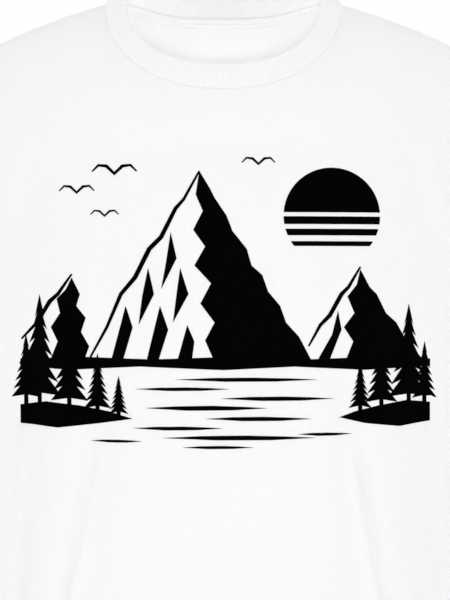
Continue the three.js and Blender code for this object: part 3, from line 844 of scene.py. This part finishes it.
def turn_hem(part, edges, rows=6, layer=1.9):
    """Folds the cloth up inside. Returns the columns of places and normals that stitches follow."""
    order = walk(edges)
    columns = {v: [(p.co.copy(), p.normal.copy()) for p in column_up(v, rows)] for v in set(order)}
    fold = [(0.3, 0.6), (0.3, 1.4), (0, layer)]  # how far below the edge, and how far inside
    source = {v: v for v in columns}
    for number in range(len(fold) + rows):
        made = bmesh.ops.extrude_edge_only(part, edges=edges)
        new = [v for v in made["geom"] if isinstance(v, bmesh.types.BMVert)]
        edges = [e for e in made["geom"] if isinstance(e, bmesh.types.BMEdge)]
        below = {vert: source[follow(vert, source)] for vert in new}
        for vert, first in below.items():
            column = columns[first]
            down = (column[0][0] - column[1][0]).normalized()
            if number < len(fold):
                (place, normal), (drop, deep) = column[0], fold[number]
                vert.co = place + (down * drop - normal * deep) * MM
            else:
                place, normal = column[min(number - len(fold) + 1, len(column) - 1)]
                vert.co = place - normal * layer * MM
        source = below
    return [columns[v] for v in order]


# %% Make a piece of cloth an object
def add_object(name, mesh, thickness=0, offset=-1):
    """The mesh as a smooth object that rides on the shirt's body, with the thickness of its cloth"""
    thing = bpy.data.objects.new(name, bpy.data.meshes.new(name))
    # an extrusion adds its faces in another order each time, and sorted they are the same in every run
    in_order = sorted(mesh.faces, key=lambda face: face.calc_center_median().to_tuple())
    rank = {face: number for number, face in enumerate(in_order)}
    mesh.faces.sort(key=rank.get)
    mesh.to_mesh(thing.data)
    mesh.free()
    bpy.context.collection.objects.link(thing)
    for polygon in thing.data.polygons:
        polygon.use_smooth = True
    if thickness:
        solidify = thing.modifiers.new("cloth thickness", "SOLIDIFY")
        solidify.thickness = thickness * MM
        solidify.offset = offset
    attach(thing, "root")
    return thing


# %% [markdown]
# ## The panels
# Each panel is taken off, its seam edges rolled in, its hem turned up, and it gets the 0.8 mm of a
# 180 gram jersey. A jersey sheet could also be left without thickness, but its edges show at the
# sleeves and the hem.

# %% The overlocked edge beside a seam
strips = {}


def seam_strip(part, kind, name, sideways=0, rings=2):
    """The overlocked edge inside a seam: the cloth beside it, lowered to the inside"""
    edges = [e for e in edges_of(part, kind) if not sideways or e.verts[0].co.x * sideways > 0]
    near = {v for e in edges for v in e.verts}
    for _ in range(rings):
        near |= {e.other_vert(v) for v in near for e in v.link_edges}
    strip = part.copy()
    part.verts.index_update()
    keep = {v.index for v in near}
    strip.verts.ensure_lookup_table()
    gone = [f for f in strip.faces if not all(v.index in keep for v in f.verts)]
    for vert in strip.verts:
        vert.co -= vert.normal * 1.25 * MM
    bmesh.ops.delete(strip, geom=gone, context="FACES")
    strips[name] = strip


# %% Front, back and sleeves
panels, hem_columns = {}, {}
for panel in PANELS:
    part = take_panel(panel)
    seams, neck_edges = edges_of(part, SHOULDER, SIDE, ARMHOLE), edges_of(part, NECK)
    if panel == "back_panel":
        for side, sideways in (("left", 1), ("right", -1)):
            seam_strip(part, SHOULDER, "shoulder_seam_" + side, sideways)
            seam_strip(part, SIDE, "side_seam_" + side, sideways)
    if panel.startswith("sleeve"):
        seam_strip(part, ARMHOLE, panel.replace("sleeve", "armhole_seam"))
    pucker(part, edges_of(part, SHOULDER, SIDE, ARMHOLE), 4, 0.9, 3)
    pucker(part, edges_of(part, HEM), 8, 1.1, 8)
    part.normal_update()
    hem_edges = edges_of(part, HEM)
    roll_in(part, seams)
    roll_in(part, neck_edges, back=0.1, deep=0.9)
    part.normal_update()
    hem_columns[panel] = turn_hem(part, hem_edges)
    hem_node = panel.replace("panel", "hem").replace("sleeve", "sleeve_hem")
    area = sum(face.calc_area() for face in part.faces)
    thing = add_object(panel + "_cloth", part, thickness=0.8)
    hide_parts(panel, hem_node)
    panels[panel] = thing
    print(panel, "cloth:", round(area, 3), "square metres")


# %% [markdown]
# ## The rib collar
# The collar is a strip of 1x1 rib knit, folded in half and sewn on slightly stretched, so it stands up
# and leans in. It could be a swept band with a striped texture. Here the ribs are part of its shape:
# a grid is rolled into a closed tube whose every sixth column is a rib, so they turn over the fold too.

# %% The neck seam as evenly spaced points
NECK_ROUNDINGS = 8  # of the loop's turn at the neck points


def neck_loop(count):
    """Places round the neck seam in millimetres, over the front and back behind, and its length"""
    shares = [k / 300 for k in range(601)]
    fine = []
    for half, way in ((FRONT, 1), (BACK, -1)):
        for s in shares[:-1]:
            u = (s - 1) * NECK_SHARE * way
            point = neck_seam(half, abs(u))
            fine.append(Vector((math.copysign(point.x, u), point.y, point.z)))
    for _ in range(NECK_ROUNDINGS):
        fine = [(fine[i - 1] + fine[i] * 2 + fine[(i + 1) % len(fine)]) / 4 for i in range(len(fine))]
    fine.append(fine[0])
    lengths = [0]
    for a, b in zip(fine, fine[1:]):
        lengths.append(lengths[-1] + (b - a).length)
    points, k = [], 0
    for i in range(count):
        target = lengths[-1] * i / count
        while lengths[k + 1] < target:
            k += 1
        points.append(mix(fine[k], fine[k + 1], (target - lengths[k]) / (lengths[k + 1] - lengths[k])))
    return points, lengths[-1]


def rib_rise(point):
    """The rib's way up from the seam: nearly upright in front and behind, leaning in at the sides"""
    reach = mix(60, 75, smooth(0.5 - point.y / 40))
    inward = Vector((-point.x / NECK_HALF**2, -point.y / reach**2, 0)).normalized()
    steep = mix(76, 69, smooth(0.5 - point.y / 40))
    elevation = math.radians(mix(steep, 38, inward.x**2))
    rise = inward * math.cos(elevation)
    rise.z = math.sin(elevation)
    return rise


def square_to(rise):
    """The direction into the neck, square to the rib's rise"""
    level = Vector((rise.x, rise.y, 0))
    into = level.normalized() * rise.z
    into.z = -level.length
    return into


# %% The rib's section
# Its points are how far up from the seam and how deep towards the neck they lie. The foot is tucked
# under the jersey, the walls swell a little, and the fold on top is half a circle.
WALL_STEPS, FOLD_STEPS = 8, 6
half_cloth = RIB_CLOTH / 2
fold_foot = RIB_HEIGHT - half_cloth
section = [(-2.6, 0.75), (-1.2, 0.35), (-0.4, -0.2), (0.1, -0.7), (0.6, -1.1)]
for k in range(WALL_STEPS + 1):
    swollen = 0.35 * math.sin(math.pi * k / WALL_STEPS)
    section.append((mix(2, fold_foot, k / WALL_STEPS), -half_cloth - swollen))
for k in range(1, FOLD_STEPS):
    turn = math.pi * k / FOLD_STEPS
    section.append((fold_foot + half_cloth * math.sin(turn), -half_cloth * math.cos(turn)))
for k in range(WALL_STEPS + 1):
    swollen = 0.25 * math.sin(math.pi * k / WALL_STEPS)
    section.append((mix(fold_foot, 2, k / WALL_STEPS), half_cloth + swollen))
section += [(0.9, 1.2), (-1, 1.35), (-2.4, 1.3)]

# %% The rib's way up, all round the neck
RIBS, STEPS_PER_RIB = 312, 6
EVENED = 70  # columns on each side over which the rise is evened out, because rib knit turns no corner
neck_points, neck_length = neck_loop(RIBS * STEPS_PER_RIB)
rises = [rib_rise(point) for point in neck_points]
total = sum((rises[k] for k in range(-EVENED, EVENED + 1)), Vector())
neck_rises = []
for i in range(len(rises)):
    neck_rises.append(total.normalized())
    total += rises[(i + EVENED + 1) % len(rises)] - rises[i - EVENED]
print("neck seam:", round(neck_length), "mm, rib pitch", round(neck_length / RIBS, 2), "mm")

# %% The rib's tube
STRIP_JOIN = 1250  # the column where the strip's own ends are sewn together, behind


def rib_place(station, k):
    """A point of the rib, in millimetres, from its column and its place in the section"""
    point, rise = neck_points[station % len(neck_points)], neck_rises[station % len(neck_points)]
    into = square_to(rise)
    up, deep = section[k % len(section)]
    rib = 0.17 * math.cos(2 * math.pi * station / STEPS_PER_RIB)
    join = math.exp(-(((station - STRIP_JOIN) / 5) ** 2))
    wave = 0.35 * noise.noise(Vector((station / 90, k / 14, 4)))
    swell = (rib - 0.5 * join + wave) * smooth(up / 2.5)
    over = smooth((up - RIB_HEIGHT + RIB_CLOTH) / half_cloth)
    rise_swell = swell * over * (1 - abs(deep) / half_cloth * 0.6)
    deep_swell = math.copysign(swell, deep) if abs(deep) > 0.1 else 0
    place = point + rise * (up + rise_swell)
    return place + into * (half_cloth - RIB_PROUD + deep + deep_swell * (1 - 0.6 * over))


RIB_STRIP = 50  # width of the strip before it is folded
collar = bmesh.new()
columns, rows = RIBS * STEPS_PER_RIB, len(section)
bmesh.ops.create_grid(collar, x_segments=columns, y_segments=rows, size=1, calc_uvs=True)
collar_uv = collar.loops.layers.uv.verify()
for face in collar.faces:
    for loop in face.loops:
        x, y = loop.vert.co.xy
        loop[collar_uv].uv = ((x + 1) / 2 * neck_length * MM, (y + 1) / 2 * RIB_STRIP * MM)
for vert in collar.verts:
    station, k = round((vert.co.x + 1) / 2 * columns), round((vert.co.y + 1) / 2 * rows)
    vert.co = rib_place(station, k) * MM
bmesh.ops.remove_doubles(collar, verts=collar.verts, dist=0.01 * MM)
bmesh.ops.recalc_face_normals(collar, faces=collar.faces)
rib = add_object("neck_rib_knit", collar)
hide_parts("neck_rib")
print("rib:", len(rib.data.polygons), "faces")

# %% [markdown]
# ## Inside: neck tape and overlocked edges
# A tape covers the back neck seam, so that it lies smooth on the skin. The other seams show their
# overlocked edges. Both are strips that lie on the inside of the panels, so they are taken from the
# panels' own surface, or laid on it.

# %% Overlocked edges
for name, strip in strips.items():
    piece = add_object(name + "_edge", strip, thickness=1.0, offset=0)
    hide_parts(name)
    strips[name] = piece


# %% The tape along the back neck seam
def surface_of(thing):
    """A search tree of the finished surface of an object"""
    return BVHTree.FromObject(thing, bpy.context.evaluated_depsgraph_get())


bpy.context.view_layer.update()
for modifier in panels["back_panel"].modifiers:
    modifier.show_viewport = False
bpy.context.view_layer.update()
back_surface = surface_of(panels["back_panel"])
TAPE_ABOVE, TAPE_BELOW = 2.4, 6.6  # how far the tape reaches over and under the seam
TAPE_LENGTH = 235
TAPE_COLUMNS, TAPE_ROWS, MIDDLE_ROW = 160, 14, 8
TAPE_MIDDLE = 0.55  # where the tape's upper fold meets its lower one, as a share of its width
back_neck = [(point, rise) for point, rise in zip(neck_points, neck_rises) if point.y > 1]
tape = bmesh.new()
bmesh.ops.create_grid(tape, x_segments=TAPE_COLUMNS, y_segments=TAPE_ROWS, size=1, calc_uvs=True)
tape_uv = tape.loops.layers.uv.verify()
for face in tape.faces:
    for loop in face.loops:
        x, y = loop.vert.co.xy
        tape_width = TAPE_ABOVE + TAPE_BELOW
        loop[tape_uv].uv = ((x + 1) / 2 * TAPE_LENGTH * MM, (y + 1) / 2 * tape_width * MM)
tape_shares = {vert: ((vert.co.x + 1) / 2, (vert.co.y + 1) / 2) for vert in tape.verts}
for vert, (share, across) in tape_shares.items():
    point, rise = back_neck[round(share * (len(back_neck) - 1))]
    up = TAPE_ABOVE - across * (TAPE_ABOVE + TAPE_BELOW)
    fold = across / TAPE_MIDDLE if across < TAPE_MIDDLE else (1 - across) / (1 - TAPE_MIDDLE)
    ridge_height = 0.6 * math.sin(math.pi * clamp(fold)) ** 0.7
    on_rib = (point + rise * up + square_to(rise) * (2.15 + ridge_height)) * MM
    place, normal, _, _ = back_surface.find_nearest((point + rise * min(up, -0.6)) * MM)
    on_panel = place - normal * (1.3 + 0.6 * smooth((up + 5) / 3) + ridge_height) * MM
    vert.co = mix(on_panel, on_rib, smooth((up + 1.5) / 2.5))
bmesh.ops.recalc_face_normals(tape, faces=tape.faces)
tape.normal_update()
# where the stitches go: between the tape's two folds
middle_row = sorted(
    (share, vert.co.copy(), vert.normal.copy())
    for vert, (share, across) in tape_shares.items() if abs(across - MIDDLE_ROW / TAPE_ROWS) < 0.01
)
neck_tape = add_object("neck_tape_twill", tape, thickness=0.5, offset=0)
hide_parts("neck_tape")
for modifier in panels["back_panel"].modifiers:
    modifier.show_viewport = True
bpy.context.view_layer.update()

# %% [markdown]
# ## Twin-needle stitches
# The hems are sewn with two needles 6 mm apart, in 3 mm stitches. A texture could draw them, but real
# stitches sink into the cloth and stand proud between, so each is a small spindle of a few faces.

# %% Stitches along a line
def stitch_path(columns, height, step=3.65):
    """Places and normals along a hem, a height above its fold. step is the height of a row of faces."""
    row = height / step
    k, share = int(row), row - int(row)
    path = []
    for column in columns:
        top = len(column) - 1
        (a, normal_a), (b, normal_b) = column[min(k, top)], column[min(k + 1, top)]
        path.append((mix(a, b, share), mix(normal_a, normal_b, share).normalized()))
    return path


spindle_mesh = bmesh.new()
bmesh.ops.create_uvsphere(spindle_mesh, u_segments=5, v_segments=4, radius=1)
lie_down = Matrix.Rotation(math.radians(90), 3, "Y")
bmesh.ops.rotate(spindle_mesh, verts=spindle_mesh.verts, matrix=lie_down)
spindle = bpy.data.meshes.new("spindle")
spindle_mesh.to_mesh(spindle)
spindle_mesh.free()


def add_stitches(mesh, path, pitch=3.0, length=2.5, radius=0.3):
    """Sews spindles along a path of places and normals"""
    left = pitch / 2 * MM
    count = 0
    for (a, normal), (b, _) in zip(path, path[1:]):
        step = b - a
        while left < step.length:
            along = step.normalized()
            across = normal.cross(along).normalized()
            turn = Matrix((along, across, along.cross(across))).transposed().to_4x4()
            size = Matrix.Diagonal((length / 2 * MM, radius * MM, radius * MM, 1))
            place = Matrix.Translation(a + along * left + normal * 0.08 * MM)
            spindle.transform(place @ turn @ size)
            mesh.from_mesh(spindle)
            spindle.transform((place @ turn @ size).inverted())  # back to its own place
            left += pitch * MM
            count += 1
        left -= step.length
    return count


# %% Sew the tape and the hems
NEEDLES = (14, 20)  # heights of the two rows above the hem's fold
threads = {}
sewing = bmesh.new()
inward = 1 if middle_row[TAPE_COLUMNS // 2][2].y < 0 else -1
on_tape = [(place + normal * inward * 0.35 * MM, normal * inward) for _, place, normal in middle_row]
made = add_stitches(sewing, on_tape)
threads["neck_tape"] = add_object("neck_tape_stitches", sewing)
print("neck tape stitches:", made)
for panel, columns in hem_columns.items():
    sewing = bmesh.new()
    made = 0
    for height in NEEDLES:
        made += add_stitches(sewing, stitch_path(columns, height))
    threads[panel] = add_object(panel + "_hem_stitches", sewing)
    print(panel, "stitches:", made)


# %% [markdown]
# ## The print on the chest
# A one-colour screen print lies on the cloth as a skin of black ink. It could be a pattern in the
# jersey's material, but then its edges would blur with the sampling. It is cut from flat shapes here:
# a mountain view of the maker's own, from plain outlines. The shapes are sliced into a few millimetres,
# so that they can bend, and are laid on the chest by rays from the front.

# %% Flat shapes
artwork = bmesh.new()


def shape(points):
    """A filled outline, from (x, z) places in millimetres"""
    corners = [artwork.verts.new((x * MM, 0, z * MM)) for x, z in points]
    outline = [artwork.edges.new(pair) for pair in zip(corners, corners[1:] + corners[:1])]
    bmesh.ops.triangle_fill(artwork, use_beauty=True, edges=outline)


def disc_in_bars(x, z, radius, bars):
    """A disc that is kept between the heights of each bar"""
    for top, foot in bars:
        piece = bmesh.new()
        turn = Matrix.Translation((x * MM, 0, z * MM)) @ Matrix.Rotation(math.radians(90), 4, "X")
        bmesh.ops.create_circle(piece, cap_ends=True, radius=radius * MM, segments=72, matrix=turn)
        for height, keep_below in ((top, True), (foot, False)):
            cut = dict(plane_co=(0, 0, (z + height) * MM), plane_no=(0, 0, 1))
            cut.update(clear_outer=keep_below, clear_inner=not keep_below)
            bmesh.ops.bisect_plane(piece, geom=piece.verts[:] + piece.edges[:] + piece.faces[:], **cut)
        flat = bpy.data.meshes.new("bar")
        piece.to_mesh(flat)
        piece.free()
        artwork.from_mesh(flat)
        bpy.data.meshes.remove(flat)


def pine(x, foot, tall, wide):
    """A fir in outline: seven tiers of boughs that hang a little, and a stem"""
    left = [(x, foot + tall)]
    for tier in range(7):
        reach = wide / 2 * (tier + 1.6) / 7.6
        low = foot + tall * (1 - (tier + 1.7) / 8.6)
        left += [(x - reach, low), (x - reach * 0.45, low + tall * 0.045)]
    left[-1] = (x - 1.8, left[-2][1] + 2)
    left.append((x - 1.8, foot))
    shape(left + [(2 * x - a, b) for a, b in reversed(left[1:])])


def lake_line(x, z, wide, thick):
    """A ripple: a long shape that is thickest in the middle and pointed at both ends"""
    half, rise = wide / 2, thick / 2
    upper = [(-1, 0), (-0.5, 0.8), (0.1, 1), (0.6, 0.6)]
    lower = [(1, 0), (0.4, -0.9), (-0.3, -1)]
    shape([(x + half * a, z + rise * b) for a, b in upper + lower])


def line(points, wide):
    """A brush line through the points, pointed at both ends"""
    left, right = [], []
    for i, (x, z) in enumerate(points):
        (x0, z0), (x1, z1) = points[max(i - 1, 0)], points[min(i + 1, len(points) - 1)]
        across = Vector((z1 - z0, x0 - x1)).normalized() * wide / 2
        thick = 0.25 + math.sin(math.pi * (0.08 + 0.84 * i / (len(points) - 1)))
        left.append((x - across.x * thick, z - across.y * thick))
        right.append((x + across.x * thick, z + across.y * thick))
    shape(left + right[::-1])


def bird(x, z, size):
    """A gull far away, both wings raised"""
    wings = [(-1, 0.1), (-0.72, 0.38), (-0.36, 0.34), (0, 0), (0.36, 0.34), (0.72, 0.38), (1, 0.1)]
    line([(x + a * size, z + b * size) for a, b in wings], size * 0.13)


# %% The sun and the high peak
SHORE = -307
disc_in_bars(92, -186, 41, [(41, 3), (-0.5, -7), (-11, -16.5), (-21.5, -25.5)])
# the shaded side, the brush line round the lit side, and cracks in that
shape([(-20, -148), (-11, -163), (-7, -171), (3, -186), (8, -199), (20, -214), (24, -228), (33, -236),
       (38, -250), (48, -262), (53, -276), (64, -288), (74, SHORE), (-8, SHORE), (-15, -291), (-7, -276),
       (-19, -260), (-10, -243), (-24, -228), (-15, -212), (-25, -198), (-17, -182), (-23, -168)])
line([(-20, -148), (-33, -172), (-40, -180), (-52, -204), (-62, -214), (-74, -238), (-86, -252),
      (-98, -280), (-113, SHORE)], 3.2)
CRACKS = [
    [(-44, -200), (-39, -222), (-52, -248), (-48, -226)],
    [(-63, -230), (-58, -252), (-71, -278), (-68, -254)],
    [(-36, -230), (-29, -252), (-42, -276), (-39, -252)],
    [(-53, -262), (-46, -282), (-54, SHORE), (-64, SHORE)],
    [(-82, -262), (-76, -280), (-84, SHORE), (-94, SHORE)],
    [(-30, -278), (-24, -292), (-26, SHORE), (-38, SHORE)],
]
for crack in CRACKS:
    shape(crack)

# %% The two lower peaks
shape([(-128, -238), (-121, -252), (-124, -262), (-116, -272), (-120, -284), (-113, -296), (-117, SHORE),
       (-146, SHORE), (-140, -292), (-146, -280), (-138, -268), (-141, -256), (-133, -248)])
line([(-128, -235), (-140, -252), (-147, -258), (-158, -276), (-172, -290)], 3)
shape([(-156, -284), (-152, -296), (-158, SHORE), (-168, SHORE), (-161, -296)])
shape([(116, -231), (124, -246), (130, -252), (138, -268), (147, -276), (156, -292), (170, SHORE),
       (104, SHORE), (110, -292), (102, -280), (111, -268), (105, -254), (113, -244)])
line([(116, -229), (106, -246), (100, -252), (90, -270), (82, -278), (72, -296)], 3)
shape([(97, -266), (100, -282), (90, SHORE), (80, SHORE), (92, -286)])

# %% The far shore, two banks, the firs, the lake and the gulls
shape([(-173, SHORE), (-120, -305), (-60, SHORE), (0, -305), (70, SHORE), (130, -305), (177, SHORE),
       (177, -313), (120, -316), (60, -313), (0, -316), (-70, -313), (-130, -316), (-173, -313)])
shape([(-173, -346), (-150, -343), (-122, -346), (-96, -351), (-76, -357), (-104, -361), (-140, -365),
       (-173, -362)])
shape([(177, -344), (156, -342), (132, -346), (112, -351), (98, -356), (120, -361), (150, -364),
       (177, -360)])
# x, foot, height and width
FIRS = [
    (-156, -348, 96, 38), (-130, -350, 76, 32), (-106, -354, 52, 24), (-88, -357, 36, 17),
    (-168, -346, 60, 26), (158, -348, 88, 36), (134, -350, 64, 28), (116, -353, 44, 20),
    (172, -346, 54, 22),
]
# x, z, width and thickness
RIPPLES = [
    (20, -324, 120, 3.4), (-34, -332, 80, 3), (46, -340, 96, 3.6), (-14, -348, 104, 4),
    (30, -357, 90, 3.6), (-38, -365, 76, 3.2), (14, -373, 130, 4), (-4, -381, 60, 2.6),
    (86, -370, 46, 2.6), (-90, -376, 44, 2.4),
]
# x, z and half of the span
GULLS = [(-92, -150, 19), (-124, -166, 15), (-100, -186, 12), (30, -142, 14)]
for fir in FIRS:
    pine(*fir)
for ripple in RIPPLES:
    lake_line(*ripple)
for gull in GULLS:
    bird(*gull)
print("print:", len(artwork.faces), "shapes")

# %% Slice the shapes and lay them on the chest
PRINT_LEFT, PRINT_RIGHT, PRINT_TOP, PRINT_FOOT = -173, 177, -130, -383
SLICE = 4.5
INK_LIFT = 0.07  # keeps the ink's back off the cloth
bmesh.ops.triangulate(artwork, faces=artwork.faces, ngon_method="EAR_CLIP")
for axis, low, high in ((0, PRINT_LEFT, PRINT_RIGHT), (2, PRINT_FOOT, PRINT_TOP)):
    for k in range(int((high - low) / SLICE) + 1):
        place, way = [0, 0, 0], [0, 0, 0]
        place[axis], way[axis] = (low + SLICE * k) * MM, 1
        everything = artwork.verts[:] + artwork.edges[:] + artwork.faces[:]
        bmesh.ops.bisect_plane(artwork, geom=everything, plane_co=place, plane_no=way, dist=0.02 * MM)
chest = surface_of(panels["front_panel"])
missed = 0
for vert in artwork.verts:
    place, normal, _, _ = chest.ray_cast(Vector((vert.co.x, -0.5, vert.co.z)), Vector((0, 1, 0)))
    missed += place is None
    if place is not None:
        vert.co = place + normal * INK_LIFT * MM
bmesh.ops.triangulate(artwork, faces=artwork.faces)
for face in artwork.faces:
    if face.normal.y > 0:
        face.normal_flip()
chest_print = add_object("chest_print_ink", artwork, thickness=0.2, offset=1)
print("print:", len(chest_print.data.polygons), "faces,", missed, "points off the chest")

# %% [markdown]
# ## Dressing, and the cuts measured flat
# Each piece gets the finish of its cloth. A sheet of cloth is more than its shape: whoever uses the
# shirt wants to know what each cut measures flat, so each panel's flat area is worked out.

# %% Dress the pieces
finish_of = {rib: ribbed, neck_tape: twill, chest_print: ink}
finish_of.update({thing: jersey for thing in panels.values()})
finish_of.update({thing: thread for thing in [*strips.values(), *threads.values()]})
for thing, finish in finish_of.items():
    thing.data.materials.clear()
    thing.data.materials.append(finish)
print("dressed:", len(finish_of), "pieces")

CLOTH_SHARE = 0.88  # of each cut's rectangle, as the neck, the armholes and the sleeve head are cut away
for panel, thing in panels.items():
    width, length = FLAT[panel][0] / 1000, (FLAT[panel][1] + HEM_FOLD) / 1000
    area = width * length * CLOTH_SHARE
